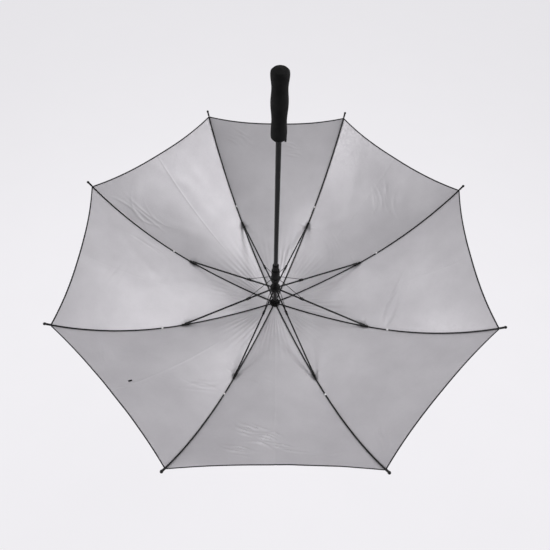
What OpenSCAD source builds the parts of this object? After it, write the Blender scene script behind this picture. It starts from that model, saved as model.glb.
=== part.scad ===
// Automatic golf umbrella with a silver-lined reflecting canopy, shown open.
// The shaft stands along +Z. The ferrule tip is at the origin and the handle is at the top,
// so the canopy opens upwards like a bowl.

/* [Canopy] */
// Number of ribs and of canopy gores
rib_count = 8; // [6:1:10]
// Radius from the shaft to the end of a rib tip
tip_r = 650; // [500:5:700]
// Height of the rib tips above the crown pivots
tip_h = 334; // [250:2:360]
// Thickness of the canopy cloth solids
cloth_t = 1.2; // [0.8:0.1:2]
// How far the hem curves in between two tips, as a share of the rib's length
hem_scallop = 0.038; // [0:0.002:0.1]
// How far the middle of a gore pulls in from a flat sheet, at its deepest
gore_sag = 16; // [0:1:30]

/* [Frame] */
// Radius of the ring that the ribs pivot on
crown_r = 12; // [11:0.5:14]
// Radius from the shaft to the rib joint
joint_r = 315; // [280:1:340]
// Height of the rib joint above the crown pivots
joint_h = 72; // [60:1:80]
// Slope of a rib where it passes its joint, in degrees
joint_slope = 20; // [16:1:24]
// Diameter of the fibreglass ribs
rib_d = 4; // [3.4:0.1:4.4]
// Width of a stretcher
stretcher_w = 4; // [3.4:0.1:4.2]
// Height of a stretcher
stretcher_h = 4.4; // [4:0.1:4.8]
// Radius from the shaft to the eye of a strut wire on its stretcher
strut_r = 95.6; // [80:0.2:110]
// Diameter of a strut wire
strut_d = 1.8; // [1.4:0.1:1.8]

/* [Shaft and runner] */
// Outer diameter of the shaft
shaft_d = 13; // [12:0.1:13]
// Wall of the shaft tube
shaft_wall = 1.5; // [1:0.1:2]
// Radius of the ring that the stretchers pivot on
runner_r = 15; // [14.5:0.1:15.5]
// Height of the runner's pivots above the crown pivots
runner_h = 100; // [90:1:104]
// Height of the slider's pivots above the crown pivots
slider_h = 166; // [164:1:168]

/* [Handle] */
// Height of the handle's mouth above the crown pivots
grip_h = 736; // [730:1:760]
// Length of the handle
grip_l = 161; // [150:1:170]
// Diameter of the handle at its head
grip_head_d = 37.3; // [34:0.1:40]
// Diameter of the handle at its mouth
grip_mouth_d = 35.3; // [34:0.1:38]

/* [Ferrule] */
// Height of the crown pivots above the ferrule tip
crown_z = 75; // [60:1:90]
// Diameter of the ferrule tube
ferrule_d = 16; // [15:0.5:18]

/* [Hidden] */
$fn = 48;
step_deg = 360 / rib_count;
half_deg = step_deg / 2;
rib_r = rib_d / 2;
shaft_r = shaft_d / 2;
joint_lift = 6;          // from a rib's centre line to its joint's pin
ring_wire_r = 0.7;       // pivot ring wires
slider_r = 12.6;         // ring that the strut wires pivot on
strut_lift = 5.6;        // from a stretcher's centre line to its strut wire's pin
cloth_gap = 4;           // from a rib's centre line to the cloth
cap_l = 22;              // length of a tip cap
bore_play = 0.13;        // lets a curved rib lie in a straight bore
core_r = 8.2;            // runner tube
notch_r = 14;            // crown notch
spring_r = 9.3;          // centre line of the main spring
spring_wire_r = 0.7;

// A rib is two arcs that share the slope at the joint. These are their ends, radii and slopes.
rod_joint = [joint_r - crown_r + joint_lift * sin(joint_slope), joint_h - joint_lift * cos(joint_slope)];
rod_tip = [tip_r - crown_r, tip_h];
inner_chord = atan2(rod_joint[1], rod_joint[0]);
slope_0 = 2 * inner_chord - joint_slope;
inner_arc_r = norm(rod_joint) / (2 * sin((joint_slope - slope_0) / 2));
outer_chord = atan2(rod_tip[1] - rod_joint[1], rod_tip[0] - rod_joint[0]);
slope_1 = 2 * outer_chord - joint_slope;
outer_arc_r = norm(rod_tip - rod_joint) / (2 * sin((slope_1 - joint_slope) / 2));
inner_c = [-inner_arc_r * sin(slope_0), inner_arc_r * cos(slope_0)];
outer_c = rod_joint + outer_arc_r * [-sin(joint_slope), cos(joint_slope)];
cap_deg = (cap_l - 6) / outer_arc_r * 180 / PI;
hem_slope = slope_1 - cap_deg - 0.15;
tie_slope = joint_slope + 77 / outer_arc_r * 180 / PI;

// The stretcher's centre line, from the rib joint to the runner
stretcher_v = [runner_r - joint_r, runner_h - joint_h];
stretcher_l = norm(stretcher_v);
stretcher_deg = atan2(-stretcher_v[1], -stretcher_v[0]);
strut_along = (strut_r - runner_r) / cos(stretcher_deg);

// Radius and height, from the crown pivot, of a rib's centre line at a slope a
function rod_pt(a) = a < joint_slope
    ? inner_c + inner_arc_r * [sin(a), -cos(a)]
    : outer_c + outer_arc_r * [sin(a), -cos(a)];

// The same line moved d towards the outside of the canopy
function skin_pt(a, d) = rod_pt(a) + d * [sin(a), -cos(a)];

// The slope at a share u of the way from the crown to the hem
function slope_at(u) = slope_0 + 0.35 + (hem_slope - slope_0 - 0.35) * u;

// A point of the canopy, d outside the ribs. u runs from crown to hem, v from the rib to mid-gore.
function cloth_pt(u, v, d) =
    let(
        belly = 1 - (1 - v) * (1 - v),
        dip = 1 - pow(1 - v, 2.5),
        a = slope_at(u * (1 - hem_scallop * dip * u)),
        p = skin_pt(a, d),
        x = max(p[0] + crown_r, notch_r + 1.5),
        sag = gore_sag * belly * sin(180 * pow(u, 0.8)),
        y = x * cos(half_deg) * sin(half_deg) * v,
        w = x - y * tan(half_deg)
    )
    [w - sag * sin(a) * cos(half_deg * v), y - sag * sin(a) * sin(half_deg * v), p[1] + sag * cos(a)];

gore_rows = 18;
gore_cols = 6;

// Places its children at rib k, with x along the rib and the crown pivots at z = 0
module at_rib(k) {
    translate([0, 0, crown_z])
        rotate([0, 0, half_deg + step_deg * (k - 1)])
            children();
}

// A pin or a disc across the rib's plane, centred at radius x and height z
module across(x, z, r, w) {
    translate([x, w / 2, z])
        rotate([90, 0, 0])
            cylinder(r = r, h = w);
}

// A round rod bent to an arc in the rib's plane, between two slopes
module arc_rod(c, arc_r, a0, a1, r) {
    translate([crown_r + c[0], 0, c[1]])
        rotate([90, 0, 0])
            rotate([0, 0, a0 - 90])
                rotate_extrude(angle = a1 - a0, $fn = 720)
                    translate([arc_r, 0])
                        circle(r = r, $fn = 24);
}

// Places its children on a rib at slope a, with x along the rib and z towards the handle
module on_rod(a) {
    p = rod_pt(a);
    translate([crown_r + p[0], 0, p[1]])
        rotate([0, -a, 0])
            children();
}

// Radial slots at every rib, from radius r0 outwards
module rib_slots(r0, r1, w, z0, z1) {
    for (k = [1:rib_count])
        rotate([0, 0, half_deg + step_deg * (k - 1)])
            translate([r0, -w / 2, z0])
                cube([r1 - r0, w, z1 - z0]);
}

module ring(r, wire_r) {
    rotate_extrude($fn = 96)
        translate([r, 0])
            circle(r = wire_r, $fn = 24);
}

// A coil spring as one swept tube
module coil(r, wire_r, h, turns, per_turn = 16, sides = 8) {
    n = turns * per_turn;
    pts = [for (i = [0:n]) for (j = [0:sides - 1])
        let(t = 360 * i / per_turn, q = 360 * j / sides, rr = r + wire_r * cos(q))
        [rr * cos(t), rr * sin(t), wire_r + (h - 2 * wire_r) * i / n + wire_r * sin(q)]];
    sides_faces = [for (i = [0:n - 1]) for (j = [0:sides - 1])
        let(a = i * sides + j, b = i * sides + (j + 1) % sides)
        [a, a + sides, b + sides, b]];
    ends = [[for (j = [0:sides - 1]) j], [for (j = [sides - 1:-1:0]) n * sides + j]];
    polyhedron(points = pts, faces = concat(sides_faces, ends), convexity = 6);
}

module shaft() {
    color("#1c1c1e")
    translate([0, 0, crown_z - 24])
    difference() {
        cylinder(r = shaft_r, h = grip_h + grip_l - 16 + 24);
        translate([0, 0, -1])
            cylinder(r = shaft_r - shaft_wall, h = grip_h + grip_l + 30);
        // latch slot
        translate([0, -2.5, grip_h + 24 - 4])
            cube([20, 5, 14]);
    }
}

module crown_notch() {
    color("#141416")
    translate([0, 0, crown_z])
    difference() {
        union() {
            translate([0, 0, -4.8])
                cylinder(r = notch_r, h = 12.8);
            cylinder(r = 9.6, h = 15);
        }
        translate([0, 0, -10])
            cylinder(r = shaft_r, h = 40);
        rib_slots(8.6, 30, 4.8, -10, 30);
        ring(crown_r, ring_wire_r);
    }
}

module crown_ring() {
    color("#8d8d90")
    translate([0, 0, crown_z])
        ring(crown_r, ring_wire_r);
}

module ferrule() {
    color("#141416")
    difference() {
        rotate_extrude($fn = 96)
            polygon([[0, 0], [3.4, 0.5], [5.6, 2], [6.8, 4.4], [ferrule_d / 2, 12],
                     [ferrule_d / 2, crown_z - 26], [9.4, crown_z - 19], [11.5, crown_z - 15.4],
                     [17, crown_z - 12], [20.4, crown_z - 9.4], [21.6, crown_z - 8],
                     [21, crown_z - 7], [15, crown_z - 6.4], [13.8, crown_z - 4.8], [0, crown_z - 4.8]]);
        translate([0, 0, crown_z - 24])
            cylinder(r = shaft_r, h = 30);
    }
}

// The handle's profile: radius at a share t of its length, from the mouth to the head
function grip_radius(t) =
    let(
        head = grip_head_d / 2,
        mouth = grip_mouth_d / 2,
        waves = t < 0.09 ? mouth
            : t < 0.29 ? mouth + (16.1 - mouth) * (1 - cos(180 * (t - 0.09) / 0.2)) / 2
            : t < 0.54 ? 16.1 + (18.3 - 16.1) * (1 - cos(180 * (t - 0.29) / 0.25)) / 2
            : t < 0.75 ? 18.3 + (16.45 - 18.3) * (1 - cos(180 * (t - 0.54) / 0.21)) / 2
            : t < 0.92 ? 16.45 + (head - 16.45) * (1 - cos(180 * (t - 0.75) / 0.17)) / 2
            : head,
        lip = t < 0.035 ? 3 * (1 - sin(90 * t / 0.035)) : 0,
        dome = t > 0.94 ? 1 - sqrt(max(0, 1 - pow((t - 0.94) / 0.06, 2))) : 0
    )
    (waves - lip) * (1 - dome);

module grip() {
    color("#1a1a1c")
    translate([0, 0, crown_z + grip_h])
    difference() {
        rotate_extrude($fn = 96)
            polygon(concat([[0, 0]], [for (i = [0:44]) [grip_radius(i / 44), grip_l * i / 44]]));
        translate([0, 0, 6])
            cylinder(r = shaft_r, h = grip_l - 22);
        // mouth that the runner's foot comes up to
        translate([0, 0, -1])
            cylinder(r = 11, h = 7.2);
        // button slot
        translate([6, -4.6, -1])
            cube([12.6, 9.2, 15]);
    }
}

module release_button() {
    color("#101012")
    translate([0, 0, crown_z + grip_h])
    difference() {
        union() {
            // thumb pad that stands out of the mouth
            translate([12.3, -4.2, -7.2])
                cube([4.3, 8.4, 17]);
            // latch nose in the shaft's slot
            translate([6.8, -1.9, 7.6])
                cube([6, 3.8, 2.2]);
            for (i = [0:3])
                translate([16.5, -3.2, -5.6 + i * 2.2])
                    cube([0.5, 6.4, 1]);
        }
        // seat of the return spring
        translate([10.6, 0, 4.4])
            rotate([0, 90, 0])
                cylinder(r = 2.3, h = 4);
    }
}

module button_spring() {
    color("#9a9a9d")
    translate([shaft_r + 0.2, 0, crown_z + grip_h + 4.4])
        rotate([0, 90, 0])
            coil(1.6, 0.25, 7.6, 6, 12, 6);
}

module runner() {
    color("#141416")
    translate([0, 0, crown_z + runner_h])
    difference() {
        union() {
            translate([0, 0, -7.5])
                cylinder(r = 16.8, h = 15);
            translate([0, 0, -10])
                cylinder(r = 12.5, h = 3);
            translate([0, 0, -9])
                cylinder(r = core_r, h = 150);
            // foot with its two beads
            translate([0, 0, 126])
                cylinder(r = 10, h = 5);
            translate([0, 0, 134])
                cylinder(r = 10, h = 5);
        }
        translate([0, 0, -20])
            cylinder(r = shaft_r + 0.3, h = 170);
        rib_slots(11, 30, 4.8, -20, 6.4);
        ring(runner_r, ring_wire_r);
    }
}

module runner_ring() {
    color("#8d8d90")
    translate([0, 0, crown_z + runner_h])
        ring(runner_r, ring_wire_r);
}

module slider() {
    color("#141416")
    translate([0, 0, crown_z + slider_h]) {
        difference() {
            union() {
                translate([0, 0, -14])
                    cylinder(r = 12.4, h = 60);
                translate([0, 0, -7])
                    cylinder(r = 14.6, h = 14);
                for (i = [0:5])
                    translate([0, 0, 14 + i * 5.2])
                        cylinder(r = 13, h = 2.2);
            }
            translate([0, 0, -30])
                cylinder(r = core_r + 0.3, h = 100);
            translate([0, 0, -15])
                cylinder(r = 10.5, h = 53);
            rib_slots(11, 30, 2.8, -16, 7.5);
            ring(slider_r, 0.6);
        }
        ring(slider_r, 0.6);
    }
}

module main_spring() {
    color("#77777a")
    translate([0, 0, crown_z + runner_h + 7.7])
        coil(spring_r, spring_wire_r, slider_h + 37.8 - runner_h - 7.7, 13);
}

module rib(k) {
    color("#18181a")
    at_rib(k) {
        // inner and outer rods, butted inside the joint block
        arc_rod(outer_c, outer_arc_r, joint_slope + 0.02, slope_1 - 0.5, rib_r);
        // flattened eye on the crown ring
        difference() {
            union() {
                arc_rod(inner_c, inner_arc_r, slope_0 + 0.3, joint_slope - 0.02, rib_r);
                across(crown_r, 0, 2.6, 2.2);
                translate([crown_r, -1.1, -1.4])
                    cube([7.6, 2.2, 3]);
            }
            across(crown_r, 0, 0.95, 6);
        }
    }
}

module rib_fittings(k) {
    color("#101012")
    at_rib(k) {
        // joint block, its lug and the stretcher's pin
        on_rod(joint_slope)
        difference() {
            union() {
                translate([-12, -3.4, -0.8])
                    cube([24, 6.8, 3.4]);
                translate([-12, 0, 0])
                    rotate([0, 90, 0])
                        cylinder(r = 3.1, h = 24);
                translate([-3, -1.5, 0])
                    cube([6, 3, joint_lift]);
                across(0, joint_lift, 3, 3);
                across(0, joint_lift, 1.1, 6.6);
            }
            translate([-20, 0, 0])
                rotate([0, 90, 0])
                    cylinder(r = rib_r + bore_play, h = 40);
        }
        // tip cap with its ball end
        on_rod(slope_1 - cap_deg)
        difference() {
            union() {
                rotate([0, 90, 0])
                    cylinder(r = 2.9, h = cap_l - 6);
                translate([cap_l - 6, 0, 0])
                    sphere(r = 4);
            }
            translate([-1, 0, 0])
                rotate([0, 90, 0])
                    cylinder(r = rib_r + bore_play, h = cap_l - 10);
        }
    }
}

module stretcher(k) {
    color("#18181a")
    at_rib(k)
    translate([runner_r, 0, runner_h])
    rotate([0, stretcher_deg * -1, 0])
    difference() {
        union() {
            difference() {
                translate([5, -stretcher_w / 2, -stretcher_h / 2])
                    cube([stretcher_l - 10, stretcher_w, stretcher_h]);
                // channel, open towards the rib
                translate([14, -stretcher_w / 2 + 0.8, -stretcher_h / 2 - 1])
                    cube([stretcher_l - 32, stretcher_w - 1.6, stretcher_h - 0.2]);
            }
            // tongue on the runner's ring
            across(0, 0, 2.4, 2.2);
            translate([0, -1.1, -1.8])
                cube([8, 2.2, 3.6]);
            // fork on the rib joint
            for (s = [-1, 1]) {
                translate([0, s * 2.4, 0])
                    across(stretcher_l, 0, 2.8, 1.2);
                translate([stretcher_l - 16, s * 2.4 - 0.6, -2.1])
                    cube([16, 1.2, 4.2]);
            }
            // sleeve and the two lugs of the strut wire
            translate([strut_along - 8, -3, -3])
                cube([16, 6, 6]);
            for (s = [-1, 1]) {
                translate([0, s * 2, 0])
                    across(strut_along, strut_lift, 2, 1.4);
                translate([strut_along - 2, s * 2 - 0.7, 0])
                    cube([4, 1.4, strut_lift]);
            }
            across(strut_along, strut_lift, 0.9, 5);
        }
        across(0, 0, 0.95, 6);
        across(stretcher_l, 0, 1.3, 8);
    }
}

// Ends of a strut wire: its eye on the stretcher and its eye on the slider
strut_from = [runner_r + strut_along * cos(stretcher_deg) - strut_lift * sin(stretcher_deg) * 1,
              runner_h + strut_along * sin(stretcher_deg) + strut_lift * cos(stretcher_deg)];

module strut_wire(k) {
    v = [slider_r, slider_h] - strut_from;
    l = norm(v);
    deg = atan2(v[1], v[0]);
    color("#29292b")
    at_rib(k)
    translate([strut_from[0], 0, strut_from[1]])
    rotate([0, -deg, 0])
    difference() {
        union() {
            translate([1.5, 0, 0])
                rotate([0, 90, 0])
                    cylinder(r = strut_d / 2, h = l - 2.6);
            across(0, 0, 2.1, 2);
            across(l, 0, 1.5, 2);
        }
        across(0, 0, 1.1, 6);
        across(l, 0, 0.8, 6);
    }
}

// Half of a gore, from rib k to the middle of the gore. side is 1 or -1.
module gore_half(k, side) {
    seam = 0.25;
    cols = gore_cols;
    rows = gore_rows;
    function at(i, j, d) =
        let(p = cloth_pt(i / rows, j / cols, d), m = j == cols ? -seam : 0)
        [p[0] + m * -sin(half_deg), max(p[1] + m * cos(half_deg), seam), p[2]];
    inner = [for (i = [0:rows]) for (j = [0:cols]) at(i, j, cloth_gap)];
    outer = [for (i = [0:rows]) for (j = [0:cols]) at(i, j, cloth_gap + cloth_t)];
    n = len(inner);
    w = cols + 1;
    top = [for (i = [0:rows - 1]) for (j = [0:cols - 1])
        each [[i * w + j, i * w + j + 1, (i + 1) * w + j + 1],
              [i * w + j, (i + 1) * w + j + 1, (i + 1) * w + j]]];
    bottom = [for (f = top) [f[2] + n, f[1] + n, f[0] + n]];
    edge = concat([for (j = [0:cols]) j],
                  [for (i = [1:rows]) i * w + cols],
                  [for (j = [cols - 1:-1:0]) rows * w + j],
                  [for (i = [rows - 1:-1:1]) i * w]);
    rim = [for (i = [0:len(edge) - 1])
        let(a = edge[i], b = edge[(i + 1) % len(edge)])
        each [[b, a, a + n], [b, a + n, b + n]]];
    color("#c9c9cf")
    at_rib(k)
    mirror([0, side > 0 ? 0 : 1, 0])
        polyhedron(points = concat(inner, outer), faces = concat(top, bottom, rim), convexity = 4);
}

shaft();
crown_notch();
crown_ring();
ferrule();
grip();
release_button();
button_spring();
runner();
runner_ring();
slider();
main_spring();
for (k = [1:rib_count]) {
    rib(k);
    rib_fittings(k);
    stretcher(k);
    strut_wire(k);
    gore_half(k, 1);
    gore_half(k, -1);
}
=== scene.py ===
import math

import bmesh
import bpy
import numpy as np
from mathutils import Matrix, Vector


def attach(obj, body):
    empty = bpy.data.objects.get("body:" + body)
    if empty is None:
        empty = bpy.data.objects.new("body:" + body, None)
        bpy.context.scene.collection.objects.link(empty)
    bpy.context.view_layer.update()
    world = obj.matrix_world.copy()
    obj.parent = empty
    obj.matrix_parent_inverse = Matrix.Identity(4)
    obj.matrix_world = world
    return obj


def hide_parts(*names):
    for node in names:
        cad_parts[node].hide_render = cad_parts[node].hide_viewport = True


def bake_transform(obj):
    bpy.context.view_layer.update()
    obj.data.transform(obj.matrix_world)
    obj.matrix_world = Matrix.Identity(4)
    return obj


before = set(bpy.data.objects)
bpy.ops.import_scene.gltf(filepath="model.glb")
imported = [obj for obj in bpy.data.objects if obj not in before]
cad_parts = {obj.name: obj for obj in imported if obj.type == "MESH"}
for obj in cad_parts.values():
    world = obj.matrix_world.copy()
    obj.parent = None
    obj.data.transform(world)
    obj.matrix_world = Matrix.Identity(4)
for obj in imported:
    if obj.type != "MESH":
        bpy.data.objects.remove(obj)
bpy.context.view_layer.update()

RIBS = 8
STEP = 2 * math.pi / RIBS
HALF = STEP / 2

# Sizes of the frame, in metres, as in the CAD model
CROWN_Z = 0.075
CROWN_R = 0.012
TIP_R = 0.650
TIP_H = 0.334
JOINT_R = 0.315
JOINT_H = 0.072
JOINT_SLOPE = math.radians(20)
JOINT_LIFT = 0.006
ROD_R = 0.002
CAP_L = 0.022

# The cloth. SCALLOP is how far the hem draws in between two ribs, as a share of the rib, and SAG is how
# far each half gore sinks towards the inside. INNER_EDGE_R keeps the cloth outside the crown notch.
SCALLOP = 0.038
SAG = 0.016
CLOTH_GAP = 0.0024
CLOTH_T = 0.0005
CLOTH_LENGTH = 0.732
INNER_EDGE_R = 0.0152
FIRST_SLOPE_STEP = math.radians(0.35)


# ---------------------------------------------------------------- rib and cloth curves

def rib_curve():
    """Arc centres, radii and slopes of a rib, from its joint and tip points."""
    joint = np.array([
        JOINT_R - CROWN_R + JOINT_LIFT * math.sin(JOINT_SLOPE),
        JOINT_H - JOINT_LIFT * math.cos(JOINT_SLOPE),
    ])
    tip = np.array([TIP_R - CROWN_R, TIP_H])
    slope_0 = 2 * math.atan2(joint[1], joint[0]) - JOINT_SLOPE
    inner_r = np.hypot(*joint) / (2 * math.sin((JOINT_SLOPE - slope_0) / 2))
    chord = tip - joint
    slope_1 = 2 * math.atan2(chord[1], chord[0]) - JOINT_SLOPE
    outer_r = np.hypot(*chord) / (2 * math.sin((slope_1 - JOINT_SLOPE) / 2))
    inner_c = np.array([-inner_r * math.sin(slope_0), inner_r * math.cos(slope_0)])
    outer_c = joint + outer_r * np.array([-math.sin(JOINT_SLOPE), math.cos(JOINT_SLOPE)])
    return slope_0, slope_1, inner_r, outer_r, inner_c, outer_c


SLOPE_0, SLOPE_1, INNER_R, OUTER_R, INNER_C, OUTER_C = rib_curve()
HEM_SLOPE = SLOPE_1 - (CAP_L - 0.006) / OUTER_R - math.radians(0.15)


def rod_point(a, out=0.0):
    """Radius from the shaft and height above the crown of a rib at slope a, moved out from the canopy."""
    a = np.asarray(a, float)
    inner = a < JOINT_SLOPE
    r = np.where(inner, INNER_R, OUTER_R) + out
    x = np.where(inner, INNER_C[0], OUTER_C[0]) + r * np.sin(a)
    z = np.where(inner, INNER_C[1], OUTER_C[1]) - r * np.cos(a)
    return CROWN_R + x, z


def slope_at(u):
    """Slope of the rib at the share u of the cloth's way from crown to hem."""
    first = SLOPE_0 + FIRST_SLOPE_STEP
    return first + (HEM_SLOPE - first) * u


def cloth_base(u, v, out):
    """Points of the cloth in a rib's own frame. u runs from crown to hem, v from the rib to mid-gore."""
    belly = 1 - (1 - v) ** 2
    dip = 1 - (1 - np.clip(v, 0, 1)) ** 2.5
    a = slope_at(u * (1 - SCALLOP * dip * u))
    x, z = rod_point(a, out)
    x = np.maximum(x, INNER_EDGE_R)
    sag = SAG * belly * np.sin(math.pi * np.clip(u, 0, 1) ** 0.8)
    y = x * math.cos(HALF) * math.sin(HALF) * v
    w = x - y * math.tan(HALF)
    return np.stack([
        w - sag * np.sin(a) * np.cos(HALF * v),
        y - sag * np.sin(a) * np.sin(HALF * v),
        z + sag * np.cos(a),
    ], -1)


# Groups of wrinkles: gore, place along it, place across it, lean in degrees from the gore's length,
# how many ridges, their spacing, length and height in metres
WRINKLES = (
    (0, 0.74, -0.25, 35, 6, 0.014, 0.11, 0.0009),
    (0, 0.30, -0.10, 60, 4, 0.012, 0.07, 0.0008),
    (1, 0.88, 0.55, 55, 6, 0.012, 0.06, 0.0010),
    (1, 0.83, -0.28, 75, 6, 0.011, 0.05, 0.0010),
    (2, 0.72, 0.78, 12, 5, 0.008, 0.16, 0.0008),
    (3, 0.55, -0.82, -12, 4, 0.009, 0.14, 0.0007),
    (3, 0.80, 0.30, 60, 3, 0.02, 0.12, 0.0006),
    (4, 0.87, -0.52, 50, 6, 0.010, 0.05, 0.0009),
    (4, 0.50, 0.60, -25, 4, 0.012, 0.12, 0.0007),
    (5, 0.73, -0.30, 52, 5, 0.013, 0.055, 0.0034),
    (5, 0.80, -0.05, 58, 6, 0.012, 0.050, 0.0040),
    (5, 0.89, -0.38, 64, 4, 0.012, 0.055, 0.0032),
    (5, 0.87, 0.12, 70, 3, 0.013, 0.055, 0.0032),
    (5, 0.35, -0.30, 42, 4, 0.012, 0.05, 0.0012),
    (5, 0.93, 0.55, -55, 5, 0.010, 0.06, 0.0009),
    (6, 0.88, -0.78, -30, 4, 0.010, 0.07, 0.0008),
    (7, 0.28, 0.30, 62, 4, 0.012, 0.08, 0.0009),
    (7, 0.50, -0.35, 48, 4, 0.016, 0.13, 0.0009),
)

# How clearly each gore shows the line where it was folded down the middle
FOLD_LINES = (0.3, 0.2, 0.5, 0.2, 0.9, 1.0, 0.3, 0.3)


def chance(*numbers):
    """A repeatable value from 0 to 1."""
    total = sum(n * w for n, w in zip(numbers, (12.9898, 78.233, 37.719, 93.989)))
    value = math.sin(total) * 43758.5453
    return value - math.floor(value)


def ridge(along, across, length, width):
    """A smooth bump of height 1, with its half-widths along and across."""
    return np.exp(-(across / width) ** 2 - (along / length) ** 2)


def creases(gore, s, u):
    """Height of the cloth's wrinkles towards the inside. s runs from -1 to 1 across a gore."""
    radius, _ = rod_point(slope_at(u))
    x = s * radius * math.sin(HALF)
    y = u * CLOTH_LENGTH
    # the soft line where the cloth has been folded down the middle of the gore
    h = 0.0006 * FOLD_LINES[gore] * np.exp(-(x / 0.0026) ** 2) * np.clip(u * 3 - 0.2, 0, 1)
    # rays where the cloth is gathered at the crown
    ray = np.sin(s * 19 + 2.1 * gore) * np.sin(s * 11 + gore)
    h += 0.0009 * ray * np.exp(-((u - 0.10) / 0.12) ** 2) * np.clip(u * 12, 0, 1)
    for row, group in enumerate(WRINKLES):
        if group[0] != gore:
            continue
        _, u0, s0, lean, count, gap, length, height = group
        dx = x - s0 * float(rod_point(slope_at(u0))[0]) * math.sin(HALF)
        dy = y - u0 * CLOTH_LENGTH
        c, t = math.cos(math.radians(lean)), math.sin(math.radians(lean))
        along = dx * t + dy * c
        across = dx * c - dy * t
        for n in range(count):
            slide = (chance(row, n, 1) - 0.5) * length * 0.8
            offset = (n - (count - 1) / 2 + 0.6 * (chance(row, n, 2) - 0.5)) * gap
            tall = height * (0.5 + 0.8 * chance(row, n, 3))
            long = length * (0.3 + 0.3 * chance(row, n, 4))
            bend = 0.15 * (along - slide) ** 2 / length * (chance(row, n, 5) - 0.5) * 8
            h += tall * ridge(along - slide, across - offset - bend, long, gap * 0.32)
    # slack swells between the ribs
    for n in range(5):
        dy = y - (0.35 + 0.6 * chance(gore, n, 6)) * CLOTH_LENGTH
        middle = 1.4 * (chance(gore, n, 7) - 0.5) * 0.18
        lean = (chance(gore, n, 8) - 0.5) * 1.2
        h += 0.0007 * ridge(dy, x - middle - lean * dy, 0.16, 0.022)
    return h


def joint_lump(u, y):
    """The cloth's bulge over the joint block, with the pinched folds beside it."""
    x, z = rod_point(slope_at(u))
    along, across = x - JOINT_R, np.abs(y)
    d = np.sqrt(along ** 2 + (across * 1.2) ** 2)
    bulge = 0.0019 * np.exp(-(d / 0.017) ** 4)
    fold = ridge(across - 0.017, along - 0.35 * (across - 0.004), 0.012, 0.0028)
    fold += ridge(across - 0.017, along + 0.012 + 0.5 * (across - 0.004), 0.010, 0.0024)
    return bulge - 0.0011 * fold


def cloth_points(k, side, u, v):
    """World points and inward normals of the cloth of rib k (from 0), on side 1 or -1, over u and v."""
    gore = k if side > 0 else (k - 1) % RIBS
    s = (v - 1) * side
    p = cloth_base(u, v, CLOTH_GAP)
    e = 1e-4
    du = cloth_base(u + e, v, CLOTH_GAP) - cloth_base(u - e, v, CLOTH_GAP)
    dv = cloth_base(u, v + e, CLOTH_GAP) - cloth_base(u, v - e, CLOTH_GAP)
    n = np.cross(du, dv)
    n /= np.linalg.norm(n, axis=-1, keepdims=True) + 1e-12
    # wrinkles fade out towards the rib, where the two gores' seam allowances make a low ridge
    from_rib = np.abs(p[..., 1])
    fade = np.clip(from_rib / 0.012 - 0.3, 0, 1)
    seam = 0.0005 * np.clip(1.4 - from_rib / 0.0028, 0, 1) * np.clip(u * 20 - 1, 0, 1)
    lift = creases(gore, s, u) * fade + seam - joint_lump(u, p[..., 1])
    p = p + n * lift[..., None]
    p[..., 1] *= side
    return to_world(p, k), to_world_dir(n * np.array([1, side, 1]), k)


def rib_angle(k):
    """Angle of rib k (k from 0) round the shaft."""
    return HALF + STEP * k


def to_world_dir(p, k):
    """Directions in rib k's own frame, turned round the shaft to the world's."""
    c, s = math.cos(rib_angle(k)), math.sin(rib_angle(k))
    return np.stack([p[..., 0] * c - p[..., 1] * s, p[..., 0] * s + p[..., 1] * c, p[..., 2]], -1)


def to_world(p, k):
    """Points in rib k's own frame, whose origin is the crown, as world points."""
    q = to_world_dir(p, k)
    q[..., 2] += CROWN_Z
    return q


# ---------------------------------------------------------------- mesh helpers

def mesh_object(name, points, faces, uvs=None, smooth_deg=35):
    """A new object in the scene from points and faces, with one UV pair per point if uvs is given."""
    mesh = bpy.data.meshes.new(name)
    mesh.from_pydata([tuple(p) for p in points], [], [tuple(f) for f in faces])
    if uvs is not None:
        layer = mesh.uv_layers.new(name="cloth")
        loops = np.zeros(len(mesh.loops), int)
        mesh.loops.foreach_get("vertex_index", loops)
        layer.data.foreach_set("uv", np.asarray(uvs, float)[loops].ravel())
    obj = bpy.data.objects.new(name, mesh)
    bpy.context.collection.objects.link(obj)
    soften(obj, smooth_deg)
    return obj


def soften(obj, smooth_deg=35):
    """Smooth shading, with edges sharper than smooth_deg left sharp."""
    bm = bmesh.new()
    bm.from_mesh(obj.data)
    bmesh.ops.recalc_face_normals(bm, faces=bm.faces)
    for f in bm.faces:
        f.smooth = True
    limit = math.radians(smooth_deg)
    for e in bm.edges:
        e.smooth = len(e.link_faces) == 2 and e.calc_face_angle(0) < limit
    bm.to_mesh(obj.data)
    bm.free()


def grid_faces(rows, cols, base=0, flip=False, wrap=False):
    """Quads of a grid of rows by cols points. wrap joins the last column to the first."""
    faces = []
    for i in range(rows - 1):
        for j in range(cols if wrap else cols - 1):
            a = base + i * cols + j
            b = base + i * cols + (j + 1) % cols
            quad = (a, b, b + cols, a + cols)
            faces.append(quad[::-1] if flip else quad)
    return faces


def slab_faces(rows, cols):
    """Faces of a thin slab: a grid, the same grid again on its other side, and the rim between them."""
    n = rows * cols
    faces = grid_faces(rows, cols) + grid_faces(rows, cols, n, flip=True)
    rim = list(range(cols))
    rim += [i * cols + cols - 1 for i in range(1, rows)]
    rim += [(rows - 1) * cols + j for j in range(cols - 2, -1, -1)]
    rim += [i * cols for i in range(rows - 2, 0, -1)]
    faces += [(a, b, b + n, a + n) for a, b in zip(rim, rim[1:] + rim[:1])]
    return faces


def add_material(obj, *materials):
    """Give an object these materials, in place of any it has."""
    obj.data.materials.clear()
    for m in materials:
        obj.data.materials.append(m)


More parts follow.
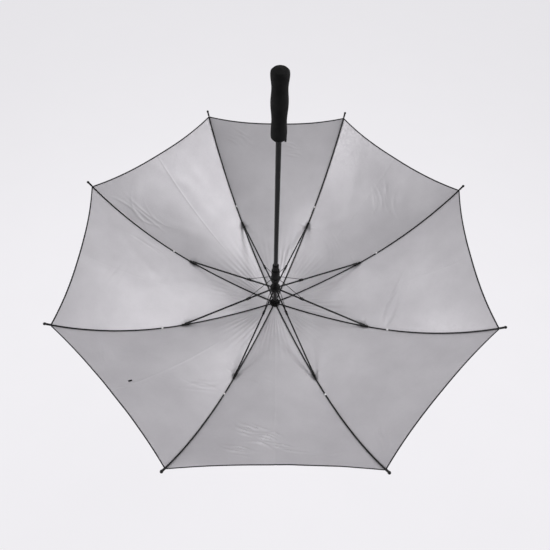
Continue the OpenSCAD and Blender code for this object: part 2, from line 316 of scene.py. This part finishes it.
def tube_along(points, radius, sides):
    """Points and faces of a round rod along a list of points, closed at both ends."""
    pts = [Vector(p) for p in points]
    verts = []
    up = None
    for i, p in enumerate(pts):
        ahead = pts[min(i + 1, len(pts) - 1)]
        behind = pts[max(i - 1, 0)]
        axis = (ahead - behind).normalized()
        if up is None:
            up = axis.orthogonal().normalized()
        up = (up - axis * up.dot(axis)).normalized()
        side = axis.cross(up)
        for j in range(sides):
            t = 2 * math.pi * j / sides
            verts.append(p + radius * (math.cos(t) * up + math.sin(t) * side))
    faces = grid_faces(len(pts), sides, wrap=True)
    faces.append(tuple(range(sides))[::-1])
    faces.append(tuple((len(pts) - 1) * sides + j for j in range(sides)))
    return verts, faces


def join_parts(parts):
    """One list of points and faces from several."""
    verts, faces = [], []
    for v, f in parts:
        base = len(verts)
        verts.extend(v)
        faces.extend(tuple(i + base for i in face) for face in f)
    return verts, faces


# ---------------------------------------------------------------- materials

class Nodes:
    """Short calls to build one node material."""

    def __init__(self, name):
        self.mat = bpy.data.materials.new(name)
        self.mat.use_nodes = True
        self.tree = self.mat.node_tree
        self.shader = self.tree.nodes["Principled BSDF"]

    def new(self, kind, **values):
        """A node, with its inputs and settings given by name."""
        node = self.tree.nodes.new(kind)
        for key, value in values.items():
            if key in node.inputs:
                node.inputs[key].default_value = value
            else:
                setattr(node, key, value)
        return node

    def link(self, a, b):
        self.tree.links.new(a, b)

    def set(self, **values):
        """Set the shader's inputs, with _ for each space in a name."""
        for key, value in values.items():
            self.shader.inputs[key.replace("_", " ")].default_value = value

    def noise(self, scale, detail=3, rough=0.55):
        node = self.new("ShaderNodeTexNoise", Scale=scale, Detail=detail, Roughness=rough)
        self.link(self.coordinate("Object"), node.inputs["Vector"])
        return node.outputs["Fac"]

    def coordinate(self, kind):
        return self.new("ShaderNodeTexCoord").outputs[kind]

    def ramp(self, fac, low, high, at=(0.3, 0.7)):
        """A blend from low to high as fac goes from at[0] to at[1]. Each end is a colour or a grey value."""
        node = self.new("ShaderNodeValToRGB")
        for stop, place, value in zip(node.color_ramp.elements, at, (low, high)):
            stop.position = place
            stop.color = (*value, 1) if hasattr(value, "__len__") else (value, value, value, 1)
        self.link(fac, node.inputs["Fac"])
        return node.outputs["Color"]

    def bump(self, height, strength, distance, normal=None):
        node = self.new("ShaderNodeBump", Strength=strength, Distance=distance)
        self.link(height, node.inputs["Height"])
        if normal is not None:
            self.link(normal, node.inputs["Normal"])
        return node.outputs["Normal"]

    def wave(self, scale, direction, vector):
        node = self.new("ShaderNodeTexWave", Scale=scale, Distortion=0.0)
        node.wave_type = "BANDS"
        node.bands_direction = direction
        self.link(vector, node.inputs["Vector"])
        return node.outputs["Fac"]

    def multiply(self, a, b):
        node = self.new("ShaderNodeMix", data_type="RGBA", blend_type="MULTIPLY")
        node.inputs[0].default_value = 1.0
        self.link(a, node.inputs[6])
        self.link(b, node.inputs[7])
        return node.outputs[2]

    def done(self, color=None, roughness=None, normal=None):
        """Join what is given to the shader, and return the material."""
        if color is not None:
            self.link(color, self.shader.inputs["Base Color"])
        if roughness is not None:
            self.link(roughness, self.shader.inputs["Roughness"])
        if normal is not None:
            self.link(normal, self.shader.inputs["Normal"])
        return self.mat


def cloth_material(name, low, high, metallic, rough_low, rough_high):
    """Woven taffeta, with its coating's slow colour change and small creases."""
    n = Nodes(name)
    n.set(Metallic=metallic)
    uv = n.coordinate("UV")
    weave = n.multiply(n.wave(900, "X", uv), n.wave(900, "Y", uv))
    color = n.ramp(n.noise(7, 3), low, high, (0.25, 0.75))
    rough = n.ramp(n.noise(160, 4), rough_low, rough_high)
    normal = n.bump(n.noise(28, 4, 0.6), 0.10, 0.0010)
    normal = n.bump(weave, 0.18, 0.00008, normal)
    return n.done(color, rough, normal)


def plastic_material(name, low, high, rough=(0.35, 0.55), grain=1400, depth=0.00003, shine=0.25):
    """Moulded black plastic with a fine texture and slight rubbed patches."""
    n = Nodes(name)
    n.set(Specular_IOR_Level=shine)
    color = n.ramp(n.noise(35, 4), low, high)
    roughness = n.ramp(n.noise(90, 3), *rough)
    normal = n.bump(n.noise(grain, 2), 0.35, depth)
    return n.done(color, roughness, normal)


def plain_material(name, color, rough, color_grain, rough_grain, bump, metallic=0.0):
    """Wire or thread. color and rough are pairs of values, and bump is its grain, strength and depth."""
    n = Nodes(name)
    n.set(Metallic=metallic)
    grain, strength, depth = bump
    normal = n.bump(n.noise(grain, 2), strength, depth)
    return n.done(n.ramp(n.noise(color_grain, 2), *color), n.ramp(n.noise(rough_grain, 2), *rough), normal)


def make_materials():
    silver = ((0.50, 0.49, 0.51), (0.60, 0.59, 0.61))
    black = ((0.012, 0.012, 0.014), (0.022, 0.022, 0.025))
    tape = ((0.010, 0.010, 0.012), (0.018, 0.018, 0.02))
    thread_bump = (3000, 0.5, 0.00005)
    return {
        "silver": cloth_material("silver_cloth_inside", *silver, 0.35, 0.42, 0.60),
        "black_cloth": cloth_material("black_cloth_outside", *black, 0.0, 0.6, 0.8),
        "binding": cloth_material("hem_binding", *tape, 0.0, 0.65, 0.85),
        "plastic": plastic_material("black_plastic", 0.004, 0.009),
        "rod": plastic_material("fibreglass_rod", 0.004, 0.008, (0.28, 0.42), 600, 0.00002),
        "steel": plastic_material("black_steel", 0.004, 0.008, (0.30, 0.45), 900, 0.00002),
        "shaft": plastic_material("black_lacquer", 0.003, 0.006, (0.12, 0.22), 300, 0.00001, 0.3),
        "foam": plastic_material("grip_foam", 0.004, 0.008, (0.62, 0.8), 900, 0.00012, 0.12),
        "wire": plain_material("dark_wire", (0.02, 0.04), (0.35, 0.5), 120, 300, (1500, 0.2, 0.00001), 1.0),
        "thread": plain_material("white_thread", (0.72, 0.85), (0.6, 0.8), 400, 700, thread_bump),
        "dark_thread": plain_material("black_thread", (0.008, 0.016), (0.6, 0.8), 400, 700, thread_bump),
    }


# ---------------------------------------------------------------- camera, floor and light

# Where the camera stands, its own right and back directions, and its lens in millimetres on a 36 mm sensor
CAMERA_PLACE = (-0.0129, -0.7434, 1.4534)
CAMERA_RIGHT = (0.99993, 0.00315, 0.01137)
CAMERA_BACK = (-0.00799, -0.52814, 0.84912)
CAMERA_LENS = 28.84


def add_camera():
    cam = bpy.data.cameras.new("camera")
    cam.sensor_width = 36
    cam.lens = CAMERA_LENS
    cam.clip_start = 0.01
    obj = bpy.data.objects.new("camera", cam)
    bpy.context.collection.objects.link(obj)
    right = Vector(CAMERA_RIGHT).normalized()
    back = Vector(CAMERA_BACK).normalized()
    up = back.cross(right).normalized()
    right = up.cross(back)
    turn = Matrix((right, up, back)).transposed()
    obj.matrix_world = Matrix.Translation(CAMERA_PLACE) @ turn.to_4x4()
    bpy.context.scene.camera = obj


def add_softbox(name, place, target, power):
    """A square area light that faces target."""
    light = bpy.data.lights.new(name, "AREA")
    light.shape = "RECTANGLE"
    light.size, light.size_y = SOFTBOX_SIZE
    light.energy = power
    light.color = SOFTBOX_COLOR
    obj = bpy.data.objects.new(name, light)
    bpy.context.collection.objects.link(obj)
    obj.location = place
    obj.rotation_euler = (Vector(target) - Vector(place)).to_track_quat("-Z", "Y").to_euler()


# Softboxes: azimuth and elevation in degrees as seen from the canopy, and power in watts
SOFTBOXES = {
    "left": (180, 20, 42),
    "right": (0, 45, 29),
    "right_low": (0, 20, 12),
    "back_right": (45, 45, 23),
    "back_left": (135, 45, 14),
    "front": (270, 45, 3),
}
SOFTBOX_SIZE = (1.4, 1.4)
SOFTBOX_COLOR = (1, 0.985, 1)
SOFTBOX_DISTANCE = 3
WORLD_COLOR = (0.93, 0.93, 0.95, 1)
WORLD_STRENGTH = 0.28
FLOOR_SIZE = 14.0
FLOOR_Z = -1.4
FLOOR_GLOW = 0.73


def add_studio():
    """Even world light, softboxes round the canopy, and a pale floor well below it."""
    world = bpy.data.worlds.new("studio")
    world.use_nodes = True
    background = world.node_tree.nodes["Background"]
    background.inputs["Color"].default_value = WORLD_COLOR
    background.inputs["Strength"].default_value = WORLD_STRENGTH
    bpy.context.scene.world = world
    centre = Vector((0, 0, 0.3))
    for name, (azimuth, elevation, power) in SOFTBOXES.items():
        a, e = math.radians(azimuth), math.radians(elevation)
        away = Vector((math.cos(e) * math.cos(a), math.cos(e) * math.sin(a), math.sin(e)))
        add_softbox(name + "_softbox", centre + SOFTBOX_DISTANCE * away, centre, power)
    n = Nodes("pale_floor")
    n.set(Roughness=0.9, Specular_IOR_Level=0.1)
    color = n.ramp(n.noise(3, 2), (0.20, 0.198, 0.203), (0.21, 0.208, 0.213))
    n.set(Emission_Strength=FLOOR_GLOW, Emission_Color=(1.0, 0.985, 1.02, 1))
    corners = [(x * FLOOR_SIZE, y * FLOOR_SIZE, FLOOR_Z) for x, y in ((-1, -1), (1, -1), (1, 1), (-1, 1))]
    floor = mesh_object("floor", corners, [(0, 1, 2, 3)])
    add_material(floor, n.done(color))
    bpy.context.scene.view_settings.view_transform = "Standard"


# ---------------------------------------------------------------- canopy

GORE_ROWS = 190
GORE_COLS = 60
HALF_GORE_CUT = (0.26, 0.75)
# the rib and side whose half gore carries the closing strap
STRAP_HALF = (4, 1)
LETTERS = {1: "a", -1: "b"}


def fold_with(obj):
    """Bake the cloth piece's placement into its mesh points."""
    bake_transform(obj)


def make_gore_half(k, side, m):
    """The sheet from one rib to the middle of a gore, with its hem."""
    letter = LETTERS[side]
    u, v = np.meshgrid(np.linspace(0, 1, GORE_ROWS), np.linspace(0, 1, GORE_COLS), indexing="ij")
    inside, normal = cloth_points(k, side, u, v)
    outside = inside - normal * CLOTH_T
    points = np.concatenate([inside.reshape(-1, 3), outside.reshape(-1, 3)])
    faces = slab_faces(GORE_ROWS, GORE_COLS)
    inner_count = (GORE_ROWS - 1) * (GORE_COLS - 1)
    x, _ = rod_point(slope_at(u))
    cut = np.stack([x * math.sin(HALF) * (v - 1) * side, u * HALF_GORE_CUT[1]], -1).reshape(-1, 2)
    obj = mesh_object(f"gore_{k + 1}_{letter}", points, faces, np.concatenate([cut, cut]), 40)
    add_material(obj, m["silver"], m["black_cloth"])
    slot_of_face = np.ones(len(faces), int)
    slot_of_face[:inner_count] = 0
    obj.data.polygons.foreach_set("material_index", slot_of_face)
    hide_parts(f"gore_half_{k + 1}_{letter}")
    fold_with(obj)
    trim = [make_hem(k, side, m)]
    if (k, side) == STRAP_HALF:
        trim += make_strap(k, side, m)


def make_hem(k, side, m):
    """The black binding folded over the canopy's edge."""
    vs = np.linspace(0, 1, GORE_COLS)
    edge, normal = cloth_points(k, side, np.full_like(vs, 1.0), vs)
    inner, _ = cloth_points(k, side, np.full_like(vs, 0.9945), vs)
    into = inner - edge
    into /= np.linalg.norm(into, axis=1, keepdims=True)
    width, lift, overhang = 0.0032, 0.0003, 0.0009
    # the folded tape's outline: distance in from the edge, and height above the silver side
    section = [(width, lift), (0.0, lift * 1.4), (-overhang, -CLOTH_T / 2), (0.0, -CLOTH_T - lift * 1.4),
               (width * 1.6, -CLOTH_T - lift), (width * 1.6, -CLOTH_T / 2), (width, -CLOTH_T / 2)]
    points = np.stack([edge + into * a + normal * b for a, b in section], 1).reshape(-1, 3)
    faces = grid_faces(len(vs), len(section), wrap=True)
    faces.append(tuple(range(len(section))))
    faces.append(tuple((len(vs) - 1) * len(section) + j for j in range(len(section)))[::-1])
    obj = mesh_object(f"hem_{k + 1}_{LETTERS[side]}", points, faces, smooth_deg=50)
    add_material(obj, m["binding"])
    fold_with(obj)
    return obj


def cloth_slab(name, k, side, us, vs, top, bottom, material):
    """A strip that follows the cloth. top and bottom are heights above the silver side, in metres."""
    u, v = np.meshgrid(us, vs, indexing="ij")
    p, normal = cloth_points(k, side, u, v)
    points = np.concatenate([(p + normal * top).reshape(-1, 3), (p + normal * bottom).reshape(-1, 3)])
    faces = slab_faces(*u.shape)
    obj = mesh_object(name, points, faces, smooth_deg=40)
    add_material(obj, material)
    fold_with(obj)
    return obj


def make_strap(k, side, m):
    """The closing strap on the outside of one gore, and its tack that shows on the silver side."""
    middle, half_width, stud_half, stitch_half = 0.955, 0.036, 0.019, 0.009
    sewn_end, free_end, stud_u = 0.868, 0.655, 0.667
    back = -CLOTH_T
    strap = cloth_slab("closing_strap", k, side, np.linspace(free_end, sewn_end, 40),
                       np.linspace(middle - half_width, middle + half_width, 9),
                       back - 0.0002, back - 0.0012, m["binding"])
    stud = cloth_slab("strap_stud", k, side, np.linspace(stud_u - 0.007, stud_u + 0.007, 7),
                      np.linspace(middle - stud_half, middle + stud_half, 7),
                      back - 0.0011, back - 0.0024, m["plastic"])
    stitches = 44
    along = np.linspace(0.846, sewn_end, stitches)
    zigzag = middle + stitch_half * np.where(np.arange(stitches) % 2, 1, -1)
    path, normal = cloth_points(k, side, along, zigzag)
    verts, faces = tube_along(path + normal * 0.0004, 0.00055, 6)
    tack = mesh_object("strap_tack", verts, faces, smooth_deg=60)
    add_material(tack, m["dark_thread"])
    fold_with(tack)
    return [strap, stud, tack]


# ---------------------------------------------------------------- ribs

TIE_FROM_JOINT = 0.077
TIE_TURNS = 7


def rib_points(a0, a1, count):
    """Points of a rod's centre line from slope a0 to slope a1, in the rib's own frame."""
    x, z = rod_point(np.linspace(a0, a1, count))
    return np.stack([x, np.zeros_like(x), z], -1)


def rib_eye(k):
    """The flattened eye that turns on the crown ring, and its neck."""
    hole, rim, half, corner = 0.00095, 0.0026, 0.0011, 0.0003
    section = [(hole, -half), (rim - corner, -half), (rim, -half + corner),
               (rim, half - corner), (rim - corner, half), (hole, half)]
    seg = 32
    ring = []
    for j in range(seg):
        t = 2 * math.pi * j / seg
        ring += [(CROWN_R + r * math.cos(t), y, r * math.sin(t)) for r, y in section]
    cols = len(section)
    faces = grid_faces(seg, cols, wrap=True)
    faces += [((seg - 1) * cols + j, (seg - 1) * cols + (j + 1) % cols, (j + 1) % cols, j)
              for j in range(cols)]
    rows, sides = 6, 8
    neck = []
    for i in range(rows):
        part = i / (rows - 1)
        x = CROWN_R + 0.0019 + 0.0065 * part
        height = 0.0014 + 0.0004 * part
        width = 0.0011 + 0.0006 * part
        centre = float(rod_point(SLOPE_0 + 0.008)[1]) * part
        for j in range(sides):
            t = 2 * math.pi * (j + 0.5) / sides
            neck.append((x, width * math.cos(t) * 1.05, centre + height * math.sin(t)))
    neck_faces = grid_faces(rows, sides, wrap=True)
    neck_faces += [tuple(range(sides))[::-1], tuple(range((rows - 1) * sides, rows * sides))]
    parts = [(np.array(ring), faces), (np.array(neck), neck_faces)]
    return [(list(to_world(points, k)), f) for points, f in parts]


def make_rib(k, m):
    """Rods and eye of rib k, with the thread tie that holds the cloth to it."""
    inner = rib_points(SLOPE_0 + FIRST_SLOPE_STEP, JOINT_SLOPE, 24)
    outer = rib_points(JOINT_SLOPE, SLOPE_1 - math.radians(0.6), 40)
    path = to_world(np.concatenate([inner, outer[1:]]), k)
    verts, faces = join_parts([tube_along(path, ROD_R, 16)] + rib_eye(k))
    obj = mesh_object(f"rib_rod_{k + 1}", verts, faces, smooth_deg=50)
    add_material(obj, m["rod"])
    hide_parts(f"rib_{k + 1}")
    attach(obj, f"rib_body_{k + 1}")
    turns = [thread_turn(k, n - (TIE_TURNS - 1) / 2) for n in range(TIE_TURNS)]
    verts, faces = join_parts(turns)
    tie = mesh_object(f"tie_{k + 1}", verts, faces, smooth_deg=60)
    add_material(tie, m["thread"])
    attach(tie, f"rib_body_{k + 1}")


def thread_turn(k, place):
    """One turn of thread round rib k. place counts turns from the middle of the tie."""
    pitch, thread_r = 0.0009, 0.00045
    loop_r = ROD_R + 0.0004
    a = JOINT_SLOPE + (TIE_FROM_JOINT + place * pitch) / OUTER_R
    x, z = rod_point(a)
    t = np.linspace(0, 2 * math.pi, 25)
    slide = pitch * t / (2 * math.pi)
    loop = np.stack([
        x - math.sin(a) * loop_r * np.sin(t) + math.cos(a) * slide,
        loop_r * np.cos(t),
        z + math.cos(a) * loop_r * np.sin(t) + math.sin(a) * slide,
    ], -1)
    return tube_along(to_world(loop, k), thread_r, 6)


# ---------------------------------------------------------------- carried-over CAD pieces

def finish_cad_nodes(m):
    """Give the CAD pieces that stay as they are their materials."""
    looks = {"shaft": "shaft", "crown_notch": "plastic", "crown_ring": "wire", "ferrule": "plastic",
             "grip": "foam", "release_button": "plastic", "button_spring": "wire", "runner": "plastic",
             "runner_ring": "wire", "slider": "plastic", "main_spring": "wire"}
    for k in range(RIBS):
        looks[f"rib_fittings_{k + 1}"] = "plastic"
        looks[f"stretcher_{k + 1}"] = "steel"
        looks[f"strut_wire_{k + 1}"] = "steel"
    for node, look in looks.items():
        add_material(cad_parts[node], m[look])


# ---------------------------------------------------------------- build

add_camera()
add_studio()
materials = make_materials()
finish_cad_nodes(materials)
for rib_index in range(RIBS):
    make_rib(rib_index, materials)
    for half in (1, -1):
        make_gore_half(rib_index, half, materials)
